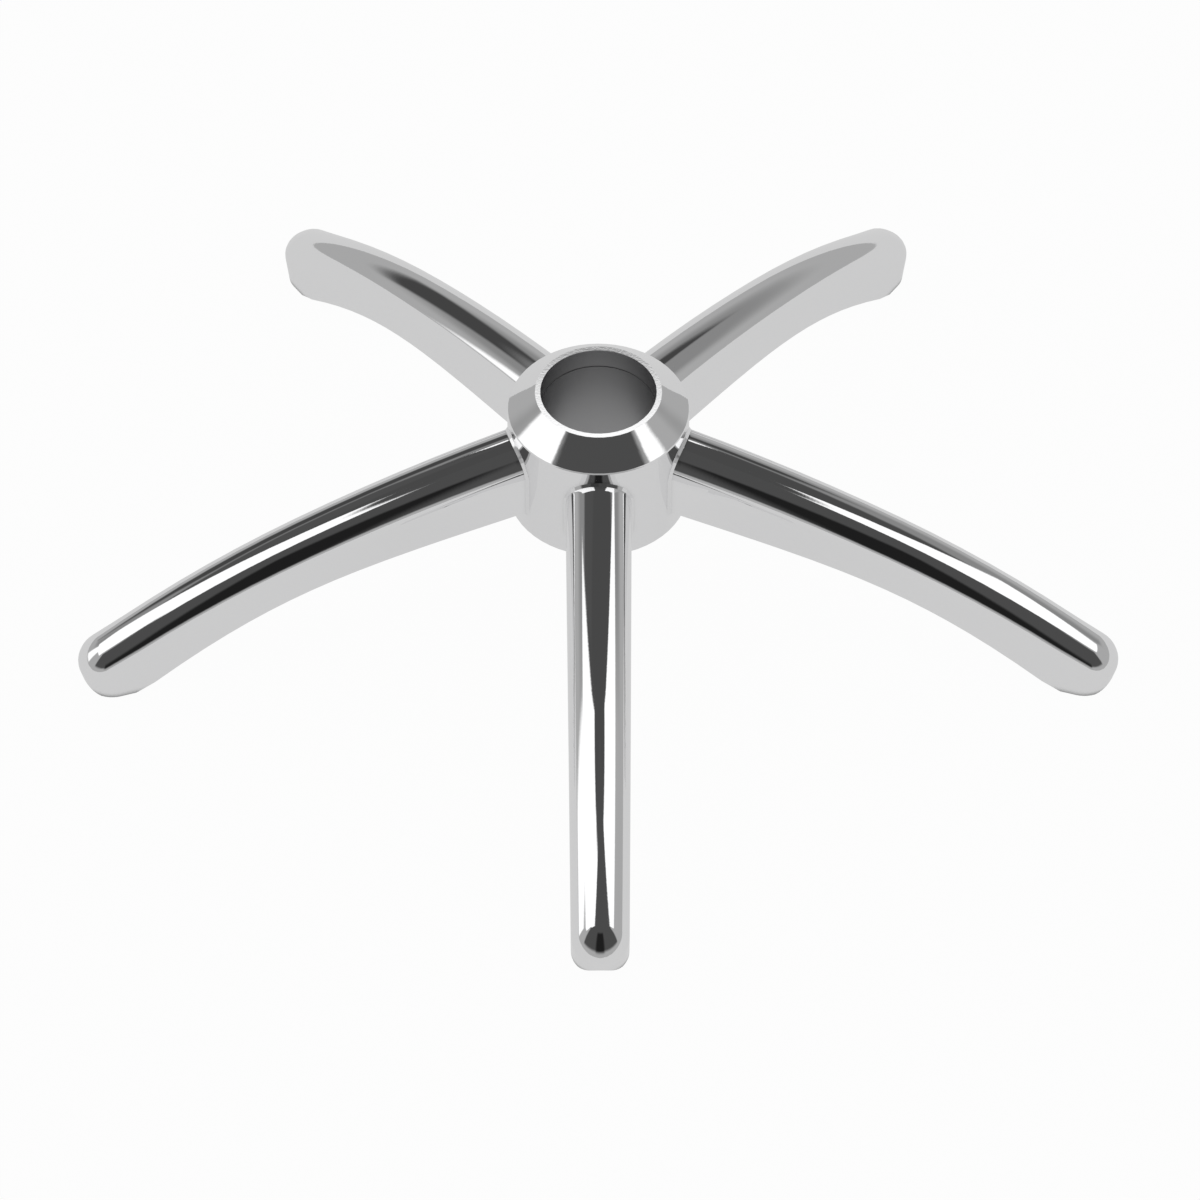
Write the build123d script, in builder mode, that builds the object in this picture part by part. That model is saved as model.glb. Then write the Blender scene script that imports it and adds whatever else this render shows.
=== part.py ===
from build123d import *
import math
import os

# Stool base cast in one piece: a hub with a tapered column bore and five curved arms.
# Millimetres. The origin is the centre of the bore's mouth, on the hub's top face.
# +Z points up along the column, and one arm points along -Y.

# Column seat
column_d = 50.0
mouth_clearance = 0.2
mouth_depth = 10.0
taper_per_mm = 1 / 20

# Hub
top_ring_width = 2.3
hub_r = 39.5
hub_height = 63.0
cone_height = 10.4
hub_foot_chamfer = 1.2
hub_rim_chamfer = 0.4

# Cored ring under the hub
core_inner_wall = 5.0
core_outer_wall = 4.5
core_depth = 26.0
core_rib = 5.0

# Arms, drawn along +X: distance from the column's axis, height from the bore's mouth
arm_count = 5
arm_reach = 240.5
arm_root_w = 28.6
arm_tip_w = 24.6
nose_lean = 13.0
nose_z = -86.0
nose_flat = 1.5
root_chamfer = 1.0
crown_start_z = -15.75
crown_lift = 11.36
crown_joint = 0.512
crown_root_arc_r = 720.0
crown_run_out = 11.5
crown_end_z = -99.64
belly_start_z = -49.0

# Foot and its stem socket
floor_drop = 107.3
foot_setback = 17.5
foot_heel = 6.5
foot_ramp = 9.0
foot_rise = 4.0
foot_trim = 0.2
toe_r = 8.0
stem_d = 11.0
stem_depth = 22.0

# Hollow underside of an arm
side_wall = 3.8
crown_wall = 4.6
rib_thickness = 3.0
rib_count = 3
rib_recess = 5.0
hollow_bevel = 3.0

mouth_r = column_d / 2 + mouth_clearance
ring_r = mouth_r + top_ring_width
seat_r = column_d / 2
seat_end_r = seat_r - (hub_height - mouth_depth) * taper_per_mm / 2
root_x = hub_r - 6.0
past_tip = arm_reach + 7.5
floor_z = -floor_drop
sole_z = floor_z - foot_trim
stem_x = arm_reach - foot_setback
foot_heel_x = stem_x - foot_heel
lean = math.radians(nose_lean)
toe_x = arm_reach + ((sole_z + toe_r - nose_z) * math.sin(lean) - toe_r) / math.cos(lean)
belly_end = (foot_heel_x - foot_ramp, floor_z + foot_rise)
hollow_start_x = hub_r + 6.0
hollow_end_x = stem_x - stem_d / 2 - 2 * side_wall
nose_r = arm_tip_w / 2
shoulder_r = nose_r - nose_flat
flare = math.atan((arm_root_w - arm_tip_w) / 2 / (arm_reach - root_x) / math.cos(lean))


def along(share):
    """Distance from the axis at a share of the way from the root to the tip."""
    return root_x + share * (arm_reach - root_x)


def crown_curve(wall=0.0):
    """Two tangent arcs along an arm's top, a wall thickness inside the outer skin."""
    end = Vector(arm_reach + crown_run_out, crown_end_z)
    slope = math.atan2(crown_start_z - end.Y, end.X - root_x) - math.radians(crown_lift)
    root_turn = math.asin((along(crown_joint) - root_x) / crown_root_arc_r)
    joint_slope = slope + root_turn
    to_end = end - Vector(root_x, crown_start_z) - crown_root_arc_r * Vector(
        math.sin(joint_slope) - math.sin(slope), math.cos(joint_slope) - math.cos(slope)
    )
    half_turn = math.atan2(-to_end.Y, to_end.X) - joint_slope
    tip_arc_r = to_end.length / 2 / math.sin(half_turn)
    start = (root_x - wall * math.sin(slope), crown_start_z - wall * math.cos(slope))
    upper = JernArc(
        start,
        (math.cos(slope), -math.sin(slope)),
        crown_root_arc_r - wall,
        -math.degrees(root_turn),
    )
    lower = JernArc(upper @ 1, upper % 1, tip_arc_r - wall, -math.degrees(2 * half_turn))
    return upper, lower


def belly_curve():
    """Curve along an arm's lower edge, as far as the ramp of the foot."""
    return Bezier(
        (root_x, belly_start_z),
        (along(0.39), -60.2),
        (along(0.55), -63.7),
        belly_end,
    )


def belly_height(x):
    """Height of an arm's lower edge at a distance from the axis."""
    return belly_curve().find_intersection_points(Line((x, 0), (x, floor_z)))[0].Y


def on_hub_wall(edge):
    """True for an edge where an arm meets the hub's upright wall."""
    points = [edge @ share for share in (0, 0.3, 0.5, 0.8, 1)]
    on_wall = all(abs(math.hypot(p.X, p.Y) - hub_r) < 0.01 for p in points)
    return on_wall and -hub_height + 3 < points[2].Z < -cone_height - 1


# Plane across the end wall, and the plane of the arm's left flank
leaning = Plane(
    (arm_reach, 0, nose_z),
    x_dir=(math.cos(lean), 0, -math.sin(lean)),
    z_dir=(math.sin(lean), 0, math.cos(lean)),
)
flank_normal = Vector(
    math.sin(flare) * math.cos(lean),
    math.cos(flare),
    -math.sin(flare) * math.sin(lean),
)
flank_dir = Vector(flank_normal.Y, -flank_normal.X, 0).normalized()
nose_centre = Vector(arm_reach - nose_r * math.cos(lean), 0, nose_z + nose_r * math.sin(lean))
flank_offset = nose_centre.dot(flank_normal) + nose_r
flank = Plane((0, 0, 0), x_dir=flank_dir, z_dir=-flank_normal).offset(-flank_offset)

nose_x = nose_r * (math.sin(flare) - 1)
nose_w = nose_r * math.cos(flare)
nose_mid = (nose_r * (math.sqrt(0.5) - 1), nose_r * math.sqrt(0.5))
tail_x = (root_x - arm_reach) * math.cos(lean) - 30
tail_w = nose_w + math.tan(flare) * (nose_x - tail_x)

# Half an arm: the side outline with the crown's arcs on top, cut to half the tapered plan outline
with BuildPart() as half_arm:
    with BuildSketch(flank.offset(-5)):
        with BuildLine():
            crown = crown_curve()
            belly_curve()
            toe = JernArc((toe_x, sole_z), (1, 0), toe_r, 90 - nose_lean)
            Polyline(belly_end, (foot_heel_x, sole_z), (toe_x, sole_z))
            Polyline(toe @ 1, (past_tip, (toe @ 1).Y), crown[1] @ 1)
            Line((root_x, crown_start_z), (root_x, belly_start_z))
        make_face()
    extrude(amount=arm_root_w + 5)
    with BuildSketch(leaning.offset(-80)):
        with BuildLine():
            ThreePointArc((nose_x, nose_w), nose_mid, (0, 0))
            Polyline((0, 0), (tail_x, 0), (tail_x, tail_w), (nose_x, nose_w))
        make_face()
    extrude(amount=180, mode=Mode.INTERSECT)
    tops = half_arm.faces().filter_by(lambda f: f.normal_at(f.center()).Z > 0.5)
    rims = tops.edges().filter_by(lambda e: (e @ 0.5).Y > 0.1 and (e @ 0.5).X > root_x + 1)
    fillet(rims.filter_by(GeomType.LINE, reverse=True), shoulder_r)
    split(bisect_by=Plane.XY.offset(floor_z), keep=Keep.TOP)

with BuildPart() as arm:
    add(half_arm.part)
    mirror(about=Plane.XZ)

# Space cored out of an arm from below, with ribs left across it
hollow_length = hollow_end_x - hollow_start_x
rib_xs = [hollow_start_x + (i + 1) * hollow_length / (rib_count + 1) for i in range(rib_count)]
ribs = [(x, belly_height(x) + rib_recess) for x in rib_xs]

with BuildPart() as half_hollow:
    with BuildSketch(flank.offset(side_wall)):
        with BuildLine():
            inner_crown = crown_curve(crown_wall)
            Polyline(
                inner_crown[1] @ 1,
                (past_tip, floor_z - 5),
                ((inner_crown[0] @ 0).X, floor_z - 5),
                inner_crown[0] @ 0,
            )
        make_face()
        with Locations(((hollow_start_x + hollow_end_x) / 2, floor_z)):
            Rectangle(hollow_length, 3 * floor_drop, mode=Mode.INTERSECT)
    extrude(amount=arm_root_w)
    ceiling = half_hollow.faces().filter_by(lambda f: f.normal_at(f.center()).Z > 0.5)
    rims = ceiling.edges().filter_by(GeomType.CIRCLE).filter_by(lambda e: (e @ 0.5).Y > 0)
    chamfer(rims, hollow_bevel)
    split(bisect_by=Plane.XZ, keep=Keep.BOTTOM)

with BuildPart() as hollow:
    add(half_hollow.part)
    mirror(about=Plane.XZ)
    for x, z in ribs:
        with Locations((x, 0, z)):
            Box(
                rib_thickness,
                arm_root_w,
                floor_drop,
                align=(Align.CENTER, Align.CENTER, Align.MIN),
                mode=Mode.SUBTRACT,
            )

with BuildPart() as cored_arm:
    add(arm.part)
    add(hollow.part, mode=Mode.SUBTRACT)
    with Locations((stem_x, 0, floor_z)):
        Cylinder(
            stem_d / 2,
            stem_depth,
            align=(Align.CENTER, Align.CENTER, Align.MIN),
            mode=Mode.SUBTRACT,
        )

with BuildPart() as hub_core:
    with BuildSketch(Plane.XY.offset(-hub_height)):
        Circle(hub_r - core_outer_wall)
        Circle(seat_end_r + core_inner_wall, mode=Mode.SUBTRACT)
        with PolarLocations(0, arm_count, start_angle=-90):
            Rectangle(2 * hub_r, core_rib, align=(Align.MIN, Align.CENTER), mode=Mode.SUBTRACT)
    extrude(amount=core_depth)

# The profile is turned from between two arms, so that no arm crosses the hub's seam
with BuildPart() as five_star_base:
    with BuildSketch(Plane.YZ):
        with BuildLine():
            Polyline(
                (0, 0),
                (ring_r, 0),
                (hub_r, -cone_height),
                (hub_r, -hub_height),
                (0, -hub_height),
                close=True,
            )
        make_face()
    revolve(axis=Axis.Z)
    hub_rims = five_star_base.edges().filter_by(GeomType.CIRCLE).sort_by(Axis.Z)
    chamfer(hub_rims[0], hub_foot_chamfer)
    chamfer(hub_rims[1], hub_rim_chamfer)
    with PolarLocations(0, arm_count, start_angle=-90):
        add(cored_arm.part)
    chamfer(five_star_base.edges().filter_by(on_hub_wall), root_chamfer)
    add(hub_core.part, mode=Mode.SUBTRACT)
    with BuildSketch(Plane.XZ):
        with BuildLine():
            Polyline(
                (0, 0),
                (mouth_r, 0),
                (mouth_r, -mouth_depth),
                (seat_r, -mouth_depth),
                (seat_end_r, -hub_height),
                (0, -hub_height),
                close=True,
            )
        make_face()
    revolve(axis=Axis.Z, mode=Mode.SUBTRACT)

os.makedirs("parts", exist_ok=True)
five_star_base.part.label = "five_star_base"
export_step(five_star_base.part, "parts/five_star_base.step")
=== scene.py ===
import math

import bpy
from mathutils import Matrix, Vector

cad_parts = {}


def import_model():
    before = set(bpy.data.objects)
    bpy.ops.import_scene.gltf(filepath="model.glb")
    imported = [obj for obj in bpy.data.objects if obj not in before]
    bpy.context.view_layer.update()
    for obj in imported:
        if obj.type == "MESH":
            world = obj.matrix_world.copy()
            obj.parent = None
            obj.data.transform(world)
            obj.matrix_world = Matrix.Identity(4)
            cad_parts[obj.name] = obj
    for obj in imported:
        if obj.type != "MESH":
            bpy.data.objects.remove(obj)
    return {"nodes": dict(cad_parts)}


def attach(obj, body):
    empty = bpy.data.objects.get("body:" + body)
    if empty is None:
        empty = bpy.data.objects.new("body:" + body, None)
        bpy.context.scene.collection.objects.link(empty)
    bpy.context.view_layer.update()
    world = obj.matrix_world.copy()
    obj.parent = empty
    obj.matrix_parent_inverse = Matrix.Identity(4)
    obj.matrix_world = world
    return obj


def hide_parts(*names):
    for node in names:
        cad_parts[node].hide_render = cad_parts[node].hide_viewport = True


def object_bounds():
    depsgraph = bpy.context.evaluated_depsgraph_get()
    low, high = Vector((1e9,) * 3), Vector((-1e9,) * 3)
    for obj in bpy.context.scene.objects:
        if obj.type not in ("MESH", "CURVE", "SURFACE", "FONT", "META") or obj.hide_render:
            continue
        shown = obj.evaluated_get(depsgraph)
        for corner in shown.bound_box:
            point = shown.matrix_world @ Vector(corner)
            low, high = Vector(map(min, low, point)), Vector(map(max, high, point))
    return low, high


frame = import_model()
cad_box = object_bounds()
base = frame["nodes"]["five_star_base"]
floor_z = cad_box[0].z

# Metres, as in the CAD
ARMS = 5
ARM_ROOT_X = 0.0335
ARM_REACH = 0.2405
ARM_ROOT_W = 0.0286
ARM_TIP_W = 0.0246
HUB_R = 0.0395
BORE_R = 0.0252
SHOULDER_R = 0.0108
NOSE_LEAN = math.radians(13)
NOSE_Z = -0.086

# One arm points along -Y, the others follow at equal steps
FIRST_ARM = -math.pi / 2
ARM_PITCH = 2 * math.pi / ARMS

# The crown's two arcs along an arm: height of the start, slopes at start, joint and end, radii
CROWN_START_Z = -0.01575
CROWN_SLOPES = [math.radians(a) for a in (9.64, 18.11, 35.61)]
CROWN_RADII = (0.720, 0.4248)
CROWN_SINES = [math.sin(a) for a in CROWN_SLOPES]
CROWN_JOINT_X = ARM_ROOT_X + CROWN_RADII[0] * (CROWN_SINES[1] - CROWN_SINES[0])
CROWN_END_X = CROWN_JOINT_X + CROWN_RADII[1] * (CROWN_SINES[2] - CROWN_SINES[1])

# Lengths over which the crown's fuller round fades out, down a flank and towards the nose
FLANK_FADE = 0.008
NOSE_FADE = 0.015

# The chamfer at an arm's root ends here, and up to a little further out points sink upright
ROOT_EDGE = HUB_R + 0.0012
UPRIGHT_EDGE = HUB_R + 0.006

# How far a point may lie off the skin to count as on it, at the root's chamfer and elsewhere
ROOT_SLACK = 0.0015
SKIN_SLACK = 0.00025
TOUCH = 0.0001

# Camera, fitted to the photo: millimetres, degrees, and the pixel of the middle of the hub's foot
PIXELS_PER_MM = 2.2706
PHOTO_SIDE = 1200
ELEVATION = 47.888
DISTANCE = 2447.0
ROLL = 0.296
TURN = 0.50
HUB_FOOT_PIXEL = (598.0, 491.5)
HUB_HEIGHT = 63.0
SENSOR = 36

# A Mix node's sockets for each data type: its two inputs and its output
MIX_SOCKETS = {"FLOAT": (2, 3, 0), "VECTOR": (4, 5, 1), "RGBA": (6, 7, 2)}


def feed(tree, socket, value):
    """Links an input to another node's output, or sets it to a constant."""
    if isinstance(value, bpy.types.NodeSocket):
        tree.links.new(value, socket)
    else:
        socket.default_value = value


def node(tree, kind, **inputs):
    """Adds a shader node and feeds its named inputs."""
    made = tree.nodes.new(kind)
    for name, value in inputs.items():
        feed(tree, made.inputs[name], value)
    return made


def math_node(tree, operation, *values):
    """Output of a Math node."""
    made = tree.nodes.new("ShaderNodeMath")
    made.operation = operation
    for socket, value in zip(made.inputs, values):
        feed(tree, socket, value)
    return made.outputs[0]


def vector_node(tree, operation, *vectors, scale=None):
    """Output of a Vector Math node; scale is for the operation SCALE."""
    made = tree.nodes.new("ShaderNodeVectorMath")
    made.operation = operation
    for socket, vector in zip(made.inputs, vectors):
        feed(tree, socket, vector)
    if scale is not None:
        feed(tree, made.inputs["Scale"], scale)
    return made.outputs[0]


def mix_node(tree, kind, factor, first, second):
    """Output of a Mix node of one data type."""
    made = tree.nodes.new("ShaderNodeMix")
    made.data_type = kind
    first_input, second_input, output = MIX_SOCKETS[kind]
    feed(tree, made.inputs["Factor"], factor)
    feed(tree, made.inputs[first_input], first)
    feed(tree, made.inputs[second_input], second)
    return made.outputs[output]


def ramp(tree, value, low, high, start, end, shape="LINEAR"):
    """Goes from start to end while value goes from low to high."""
    made = tree.nodes.new("ShaderNodeMapRange")
    made.interpolation_type = shape
    for name, level in (("From Min", low), ("From Max", high), ("To Min", start), ("To Max", end)):
        made.inputs[name].default_value = level
    tree.links.new(value, made.inputs["Value"])
    return made.outputs[0]


def band(tree, value, low, high, soft):
    """1 where value lies between low and high, with soft edges."""
    up = ramp(tree, value, low - soft / 2, low + soft / 2, 0, 1, "SMOOTHSTEP")
    down = ramp(tree, value, high - soft / 2, high + soft / 2, 1, 0, "SMOOTHSTEP")
    return math_node(tree, "MULTIPLY", up, down)


def hypotenuse(tree, a, b):
    """Square root of the sum of two squares."""
    squares = [math_node(tree, "MULTIPLY", side, side) for side in (a, b)]
    return math_node(tree, "SQRT", math_node(tree, "ADD", *squares))


def other_side(tree, value):
    """Square root of one less the square of value."""
    square = math_node(tree, "MULTIPLY", value, value)
    return math_node(tree, "SQRT", math_node(tree, "SUBTRACT", 1.0, square))


def rounded_crown(tree, place, flat, normal):
    """Normal of a fully rounded crown on each arm; elsewhere the mesh's own normal.

    place is the position split in x, y and z, flat the distance from the column's axis."""
    angle = math_node(tree, "ARCTAN2", place.outputs["Y"], place.outputs["X"])
    turns = math_node(tree, "DIVIDE", math_node(tree, "ADD", angle, -FIRST_ARM), ARM_PITCH)
    whole = math_node(tree, "ROUND", turns)
    off = math_node(tree, "MULTIPLY", math_node(tree, "SUBTRACT", turns, whole), ARM_PITCH)
    arm = math_node(tree, "SUBTRACT", angle, off)
    sine = math_node(tree, "SINE", arm)
    cosine = math_node(tree, "COSINE", arm)
    minus_sine = math_node(tree, "MULTIPLY", sine, -1.0)
    side = node(tree, "ShaderNodeCombineXYZ", X=minus_sine, Y=cosine).outputs[0]
    ahead = node(tree, "ShaderNodeCombineXYZ", X=cosine, Y=sine).outputs[0]
    across = math_node(tree, "MULTIPLY", flat, math_node(tree, "SINE", off))
    out = math_node(tree, "MULTIPLY", flat, math_node(tree, "COSINE", off))

    # Place on the crown from the spine, which ends at the centre of the nose
    half = ramp(tree, out, ARM_ROOT_X, ARM_REACH, ARM_ROOT_W / 2, ARM_TIP_W / 2)
    nose_centre = ARM_REACH - ARM_TIP_W / 2
    past = math_node(tree, "MAXIMUM", math_node(tree, "SUBTRACT", out, nose_centre), 0.0)
    sideways = math_node(tree, "DIVIDE", across, half)
    onward = math_node(tree, "DIVIDE", past, half)
    share = math_node(tree, "MINIMUM", hypotenuse(tree, sideways, onward), 0.99)
    fall = other_side(tree, share)

    # The crown's slope along the arm: two arcs, so its sine grows in two straight ramps
    start_sine, joint_sine, end_sine = CROWN_SINES
    upper = ramp(tree, out, ARM_ROOT_X, CROWN_JOINT_X, start_sine, joint_sine)
    lower = ramp(tree, out, CROWN_JOINT_X, CROWN_END_X, 0, end_sine - joint_sine)
    slope = math_node(tree, "ADD", upper, lower)
    upright = node(tree, "ShaderNodeCombineXYZ", Z=other_side(tree, slope)).outputs[0]
    spine = vector_node(tree, "ADD", upright, vector_node(tree, "SCALE", ahead, scale=slope))
    lean_side = vector_node(tree, "SCALE", side, scale=math_node(tree, "DIVIDE", sideways, fall))
    lean_ahead = vector_node(tree, "SCALE", ahead, scale=math_node(tree, "DIVIDE", onward, fall))
    leaning = vector_node(tree, "ADD", lean_side, lean_ahead)
    whole_round = vector_node(tree, "NORMALIZE", vector_node(tree, "ADD", spine, leaning))

    # Only on upward faces, inside the crown's edges and past the chamfer at the root
    facing = tree.nodes.new("ShaderNodeSeparateXYZ")
    tree.links.new(normal, facing.inputs[0])
    on_crown = band(tree, share, -1.0, 0.955, 0.05)
    past_root = band(tree, out, ROOT_EDGE, ARM_REACH + 0.01, 0.0008)
    upward = band(tree, facing.outputs["Z"], 0.12, 2.0, 0.1)
    mask = math_node(tree, "MULTIPLY", math_node(tree, "MULTIPLY", on_crown, past_root), upward)
    return vector_node(tree, "NORMALIZE", mix_node(tree, "VECTOR", mask, normal, whole_round))


def polished_metal():
    """Mirror-polished aluminium with faint polishing marks, painted shade in its creases and a
    machined bore.
    """
    mat = bpy.data.materials.new("polished_aluminium")
    mat.use_nodes = True
    tree = mat.node_tree
    links = tree.links
    bsdf = tree.nodes["Principled BSDF"]
    bsdf.inputs["Metallic"].default_value = 1.0
    spot = tree.nodes.new("ShaderNodeTexCoord").outputs["Object"]
    place = tree.nodes.new("ShaderNodeSeparateXYZ")
    links.new(spot, place.inputs[0])
    flat = hypotenuse(tree, place.outputs["X"], place.outputs["Y"])
    in_bore = band(tree, flat, -1.0, BORE_R + 0.00025, 0.0002)
    below = band(tree, place.outputs["Z"], -1.0, -0.0003, 0.0002)
    bore = math_node(tree, "MULTIPLY", in_bore, below)

    grime = node(tree, "ShaderNodeTexNoise", Vector=spot, Scale=60.0, Detail=6.0, Roughness=0.6)
    fine = node(tree, "ShaderNodeTexNoise", Vector=spot, Scale=900.0, Detail=3.0, Roughness=0.5)
    polish = ramp(tree, grime.outputs[0], 0.35, 0.75, 0.025, 0.055)
    links.new(mix_node(tree, "FLOAT", bore, polish, 0.42), bsdf.inputs["Roughness"])

    tint = mix_node(tree, "RGBA", bore, (0.90, 0.90, 0.905, 1), (0.40, 0.40, 0.405, 1))
    # Painted shade: ambient occlusion darkens the base colour in creases, such as where the arms
    # meet the hub
    crease_occlusion = node(tree, "ShaderNodeAmbientOcclusion", Distance=0.004)
    crease_occlusion.samples = 6
    crease_shading = ramp(tree, crease_occlusion.outputs["AO"], 0.30, 0.85, 0.05, 1)
    links.new(vector_node(tree, "SCALE", tint, scale=crease_shading), bsdf.inputs["Base Color"])

    normal = tree.nodes.new("ShaderNodeNewGeometry").outputs["Normal"]
    rounded = rounded_crown(tree, place, flat, normal)
    marks = node(
        tree,
        "ShaderNodeBump",
        Strength=0.02,
        Distance=0.0002,
        Height=fine.outputs[0],
        Normal=rounded,
    )
    links.new(marks.outputs[0], bsdf.inputs["Normal"])
    return mat


def crown_place(out, z):
    """Depth below the crown's spine of a point in an arm's middle plane, and the slope there."""
    near = out < CROWN_JOINT_X
    radius = CROWN_RADII[0 if near else 1]
    drop = CROWN_RADII[0] * (math.cos(CROWN_SLOPES[0]) - math.cos(CROWN_SLOPES[1]))
    start_x = ARM_ROOT_X if near else CROWN_JOINT_X
    start_z = CROWN_START_Z if near else CROWN_START_Z - drop
    start_slope = CROWN_SLOPES[0 if near else 1]
    from_centre = (
        out - start_x + radius * math.sin(start_slope),
        z - start_z + radius * math.cos(start_slope),
    )
    return radius - math.hypot(*from_centre), math.atan2(*from_centre)


def half_width(out, z):
    """Half the width between an arm's flanks, which lean and close in towards the nose."""
    nose_r = ARM_TIP_W / 2
    taper = (ARM_ROOT_W - ARM_TIP_W) / 2 / (ARM_REACH - ARM_ROOT_X) / math.cos(NOSE_LEAN)
    from_nose = ARM_REACH - nose_r * math.cos(NOSE_LEAN) - out
    below_nose = NOSE_Z + nose_r * math.sin(NOSE_LEAN) - z
    outward = from_nose * math.cos(NOSE_LEAN) - below_nose * math.sin(NOSE_LEAN)
    return nose_r / math.cos(math.atan(taper)) + taper * outward


def crown_shift(across, depth, half, slack):
    """How far a point of the outer skin sinks when the crown turns into one full round."""
    if abs(across - half) < slack and depth > SHOULDER_R:
        return (half - SHOULDER_R) * max(1 - (depth - SHOULDER_R) / FLANK_FADE, 0)
    shoulder = max(across - (half - SHOULDER_R), 0)
    if abs(math.hypot(shoulder, SHOULDER_R - depth) - SHOULDER_R) > slack:
        return 0
    shoulder = min(shoulder, SHOULDER_R)
    across = min(across, half)
    old = SHOULDER_R - math.sqrt(SHOULDER_R**2 - shoulder**2)
    return half - math.sqrt(half**2 - across**2) - old


def round_the_crown(mesh):
    """Turns each arm's crown from a flat strip between shoulders into one full round."""
    nose_centre = ARM_REACH - ARM_TIP_W / 2
    for vertex in mesh.vertices:
        x, y, z = vertex.co
        flat = math.hypot(x, y)
        angle = math.atan2(y, x)
        arm = round((angle - FIRST_ARM) / ARM_PITCH) * ARM_PITCH + FIRST_ARM
        out = flat * math.cos(angle - arm)
        if flat < HUB_R - TOUCH or out >= nose_centre or z < floor_z + TOUCH:
            continue
        across = abs(flat * math.sin(angle - arm))
        depth, slope = crown_place(out, z)
        slack = ROOT_SLACK if flat < ROOT_EDGE else SKIN_SLACK
        shift = crown_shift(across, depth, half_width(out, z), slack)
        shift *= min((nose_centre - out) / NOSE_FADE, 1)
        if out < UPRIGHT_EDGE:
            vertex.co.z -= shift / math.cos(slope)
        else:
            inward = shift * math.sin(slope)
            sunk = shift * math.cos(slope)
            vertex.co -= Vector((inward * math.cos(arm), inward * math.sin(arm), sunk))
    mesh.update()


metal = polished_metal()
dressed = bpy.data.objects.new("polished_five_star_base", base.data.copy())
bpy.context.scene.collection.objects.link(dressed)
round_the_crown(dressed.data)
for piece in (base, dressed):
    piece.data.materials.clear()
    piece.data.materials.append(metal)
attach(dressed, "root")
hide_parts("five_star_base")


def floor_material():
    """Pale floor that keeps the object's shadow and looks white to the camera."""
    mat = bpy.data.materials.new("floor_white")
    mat.use_nodes = True
    tree = mat.node_tree
    bsdf = tree.nodes["Principled BSDF"]
    bsdf.inputs["Base Color"].default_value = (0.88, 0.88, 0.88, 1)
    bsdf.inputs["Roughness"].default_value = 0.9
    bsdf.inputs["Specular IOR Level"].default_value = 0.0
    ray = tree.nodes.new("ShaderNodeLightPath")

    def by_ray(camera, glossy):
        """One level for camera rays, another for glossy rays, nothing for the rest."""
        seen = math_node(tree, "MULTIPLY", ray.outputs["Is Camera Ray"], camera)
        mirrored = math_node(tree, "MULTIPLY", ray.outputs["Is Glossy Ray"], glossy)
        return math_node(tree, "ADD", seen, mirrored)

    glow = node(tree, "ShaderNodeEmission", Strength=by_ray(1.0, 0.72))
    mix = tree.nodes.new("ShaderNodeMixShader")
    for socket, value in zip(mix.inputs, (by_ray(0.97, 0.85), bsdf.outputs[0], glow.outputs[0])):
        tree.links.new(value, socket)
    tree.links.new(mix.outputs[0], tree.nodes["Material Output"].inputs["Surface"])
    return mat


# The floor lies a fifth of a millimetre below the feet, so that no faces coincide
bpy.ops.mesh.primitive_plane_add(size=12, location=(0, 0, floor_z - 0.0002))
floor = bpy.context.object
floor.name = "floor"
floor.data.materials.append(floor_material())


def photo_camera():
    """Camera at the fitted place; its axis goes through the middle of the image."""
    elevation = math.radians(ELEVATION)
    roll = math.radians(ROLL)
    x0 = (HUB_FOOT_PIXEL[0] - PHOTO_SIDE / 2) / PIXELS_PER_MM
    y0 = (PHOTO_SIDE / 2 - HUB_FOOT_PIXEL[1]) / PIXELS_PER_MM
    look = Vector((0, math.cos(elevation), -math.sin(elevation)))
    right = Vector((1, 0, 0))
    up = Vector((0, math.sin(elevation), math.cos(elevation)))
    rolled_right = right * math.cos(roll) + up * math.sin(roll)
    rolled_up = up * math.cos(roll) - right * math.sin(roll)
    spot = look * -DISTANCE - rolled_right * x0 - rolled_up * y0
    spot.z -= HUB_HEIGHT
    turn = Matrix.Rotation(-math.radians(TURN), 3, "Z")
    axes = Matrix((turn @ rolled_right, turn @ rolled_up, turn @ -look)).transposed()
    data = bpy.data.cameras.new("camera")
    data.sensor_width = SENSOR
    data.lens = SENSOR * PIXELS_PER_MM * DISTANCE / PHOTO_SIDE
    data.clip_start = 0.05
    data.clip_end = 30
    camera = bpy.data.objects.new("camera", data)
    camera.matrix_world = Matrix.Translation(turn @ spot / 1000) @ axes.to_4x4()
    bpy.context.scene.collection.objects.link(camera)
    bpy.context.scene.camera = camera


photo_camera()


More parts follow.
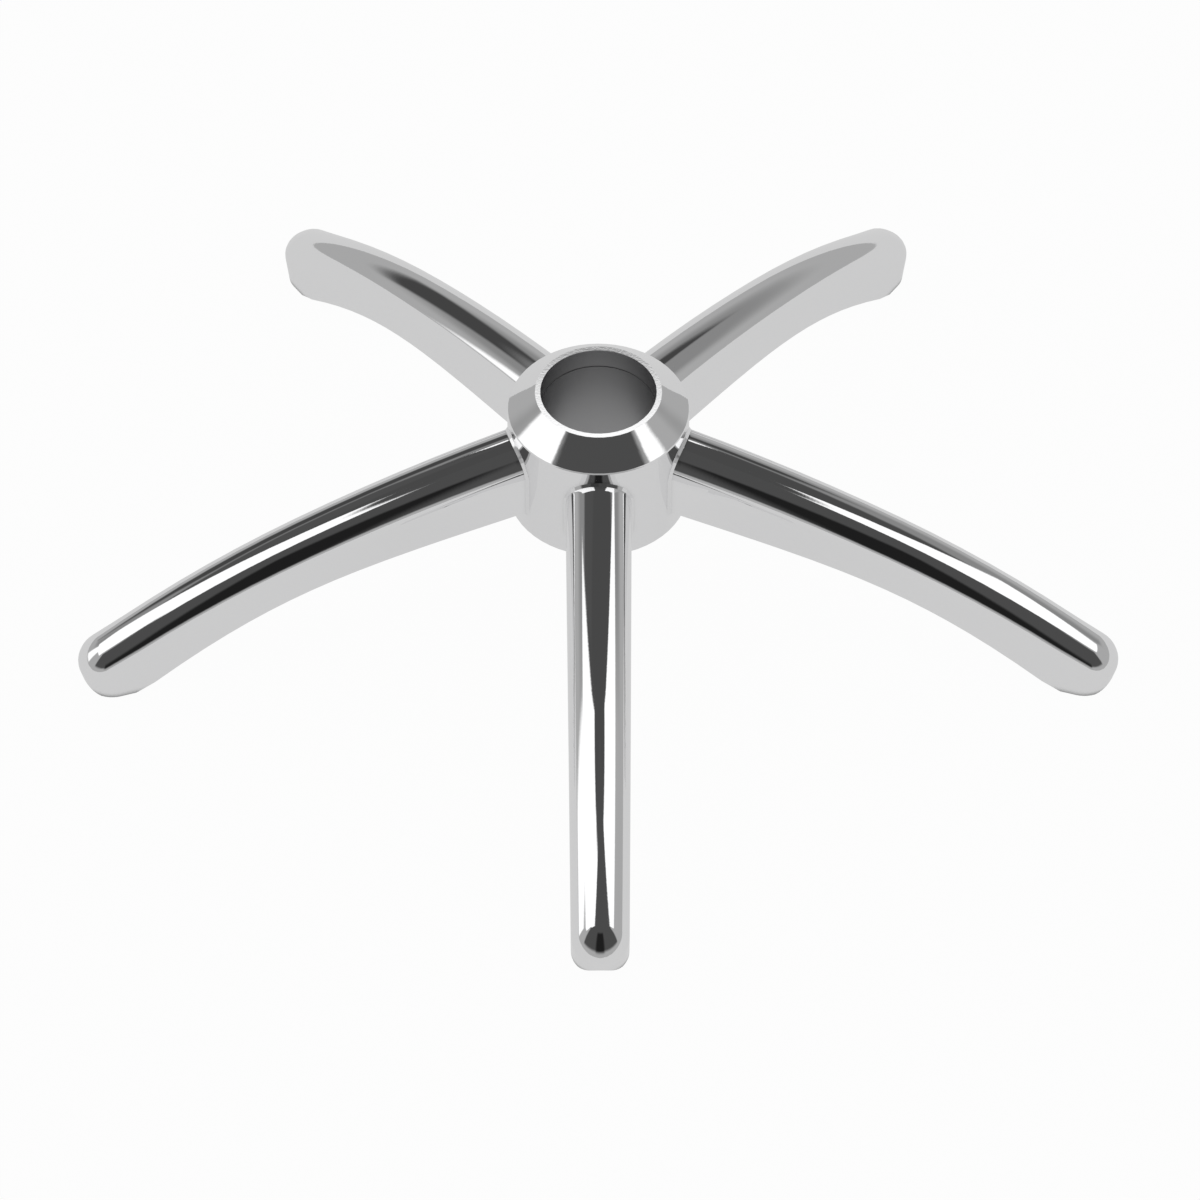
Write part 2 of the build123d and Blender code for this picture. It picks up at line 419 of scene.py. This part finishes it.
def sky_patch(tree, below, around, height, around_range, height_range, soft, shade, lean):
    """Lays a soft-edged patch of one shade over what is below it; lean slants its upright edges."""
    if lean:
        middle = sum(height_range) / 2
        slant = math_node(tree, "MULTIPLY", height, -lean)
        around = math_node(tree, "ADD", around, slant)
        around_range = [edge - lean * middle for edge in around_range]
    mask = math_node(
        tree,
        "MULTIPLY",
        band(tree, around, *around_range, soft),
        band(tree, height, *height_range, soft),
    )
    return mix_node(tree, "FLOAT", mask, below, shade)


def world():
    """Studio surroundings: white banks at the sides, dark flags in front, behind and overhead."""
    made = bpy.data.worlds.new("studio")
    bpy.context.scene.world = made
    made.use_nodes = True
    tree = made.node_tree
    tree.nodes.clear()
    coord = tree.nodes.new("ShaderNodeTexCoord")
    part = tree.nodes.new("ShaderNodeSeparateXYZ")
    tree.links.new(coord.outputs["Generated"], part.inputs[0])
    x, y, z = part.outputs

    def degrees(operation, *values):
        """An angle in degrees."""
        return math_node(tree, "MULTIPLY", math_node(tree, operation, *values), 180 / math.pi)

    # Angles of a direction: height over the horizon, and around from in front and from behind
    height = degrees("ARCSINE", z)
    front = degrees("ARCTAN2", x, math_node(tree, "MULTIPLY", y, -1.0))
    back = degrees("ARCTAN2", x, y)

    # Each patch: around from where, its range around and in height, softness, shade and lean
    shade = 0.42
    for around, *patch in (
        (back, (-70, 70), (18, 60), 16, 0.26, 0),
        (front, (-400, 400), (44, 200), 8, 0.07, 0),
        (front, (-150, -113), (38, 62), 6, 0.08, 0),
        (front, (-56, 60), (8, 200), 6, 0.075, 0),
        (front, (-14, 13), (6, 46), 8, 0.014, 0),
        (front, (59, 116), (34, 73), 3, 1.15, -0.6),
        (front, (-106, -84), (2, 34), 5, 1.15, 0),
        (front, (-110, -58), (30, 72), 3, 1.15, 0.4),
        (front, (-70, -42), (48, 72), 4, 1.15, 1.0),
        (back, (-26, 26), (45.5, 51), 1.5, 1.15, 0),
        (back, (-50, -13), (15, 35), 8, 0.06, 0),
        (back, (10, 30), (27, 40), 6, 0.06, 0),
    ):
        shade = sky_patch(tree, shade, around, height, *patch)
    ray = tree.nodes.new("ShaderNodeLightPath")
    seen = mix_node(tree, "FLOAT", ray.outputs["Is Camera Ray"], shade, 1.0)
    background = node(tree, "ShaderNodeBackground", Color=seen)
    out = tree.nodes.new("ShaderNodeOutputWorld")
    tree.links.new(background.outputs[0], out.inputs["Surface"])


world()
bpy.context.scene.view_settings.view_transform = "Standard"
